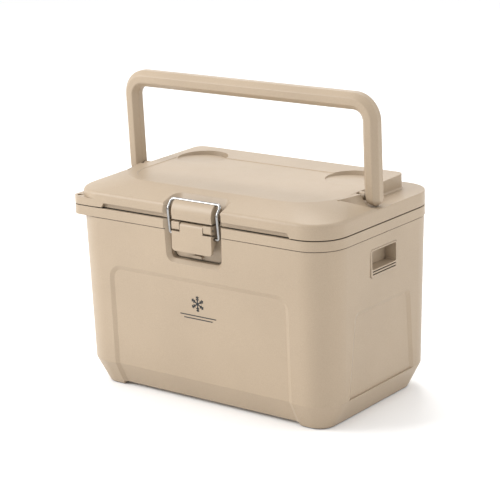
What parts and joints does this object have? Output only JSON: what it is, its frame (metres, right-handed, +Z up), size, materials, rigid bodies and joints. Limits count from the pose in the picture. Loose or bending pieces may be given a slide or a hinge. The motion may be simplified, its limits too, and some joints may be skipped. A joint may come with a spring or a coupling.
{
  "type": "cooler chest",
  "caption": "Insulated hard-sided cooler chest with hinged lid, swing-over carrying handle, wire-bail front latch and end hand pockets.",
  "frame": {"origin": "centre of the rectangular footprint, on the floor under the feet", "axes": "+X to the right along the long front, -Y out of the front where the latch is, +Z up"},
  "size_m": [0.41, 0.2695, 0.4115],
  "materials": {
    "shell_plastic": "sand tan polyethylene, satin with a fine moulded grain",
    "latch_plastic": "sand tan moulded plastic, smooth satin",
    "liner_plastic": "off-white food-safe plastic, satin",
    "foam": "closed-cell polyurethane foam",
    "bush_plastic": "nylon, satin",
    "steel": "stainless steel, satin",
    "wire_steel": "bright drawn stainless wire",
    "seal_rubber": "soft grey seal rubber"
  },
  "bodies": {
    "tub": {"tub_outer_shell": "shell_plastic", "tub_inner_liner": "liner_plastic", "tub_foam": "foam", "end_grip_left": "shell_plastic", "end_grip_right": "shell_plastic", "hinge_leaf_tub_left": "shell_plastic", "hinge_leaf_tub_right": "shell_plastic", "hinge_pin_left": "steel", "hinge_pin_right": "steel", "hinge_screws_tub": "steel", "latch_base": "latch_plastic", "latch_base_screws": "steel", "latch_pivot_pin": "steel"},
    "lid": {"lid_outer_shell": "shell_plastic", "lid_inner_liner": "liner_plastic", "lid_foam": "foam", "lid_gasket": "seal_rubber", "hinge_leaf_lid_left": "shell_plastic", "hinge_leaf_lid_right": "shell_plastic", "hinge_screws_lid": "steel", "latch_keeper": "latch_plastic", "latch_keeper_screws": "steel", "handle_bush_left": "bush_plastic", "handle_bush_right": "bush_plastic"},
    "handle": {"carry_handle": "shell_plastic", "handle_pin_left": "steel", "handle_pin_right": "steel", "handle_clips": "steel"},
    "lever": {"latch_lever": "latch_plastic"},
    "bail": {"latch_bail": "wire_steel"}
  },
  "joints": [
    {"name": "lid_hinge", "type": "hinge", "parent": "tub", "child": "lid", "pos_m": [0, 0.1345, 0.2492], "axis": [-1, 0, 0], "range_deg": [0, 100]},
    {"name": "handle_swing", "type": "hinge", "parent": "lid", "child": "handle", "pos_m": [0, -0.002, 0.2795], "axis": [-1, 0, 0], "range_deg": [0, 92]},
    {"name": "lever_swing", "type": "hinge", "parent": "tub", "child": "lever", "pos_m": [0, -0.1255, 0.2425], "axis": [-1, 0, 0], "range_deg": [0, 105]},
    {"name": "bail_swing", "type": "hinge", "parent": "lid", "child": "bail", "pos_m": [0, -0.1182, 0.2746], "axis": [-1, 0, 0], "range_deg": [0, 110]}
  ]
}
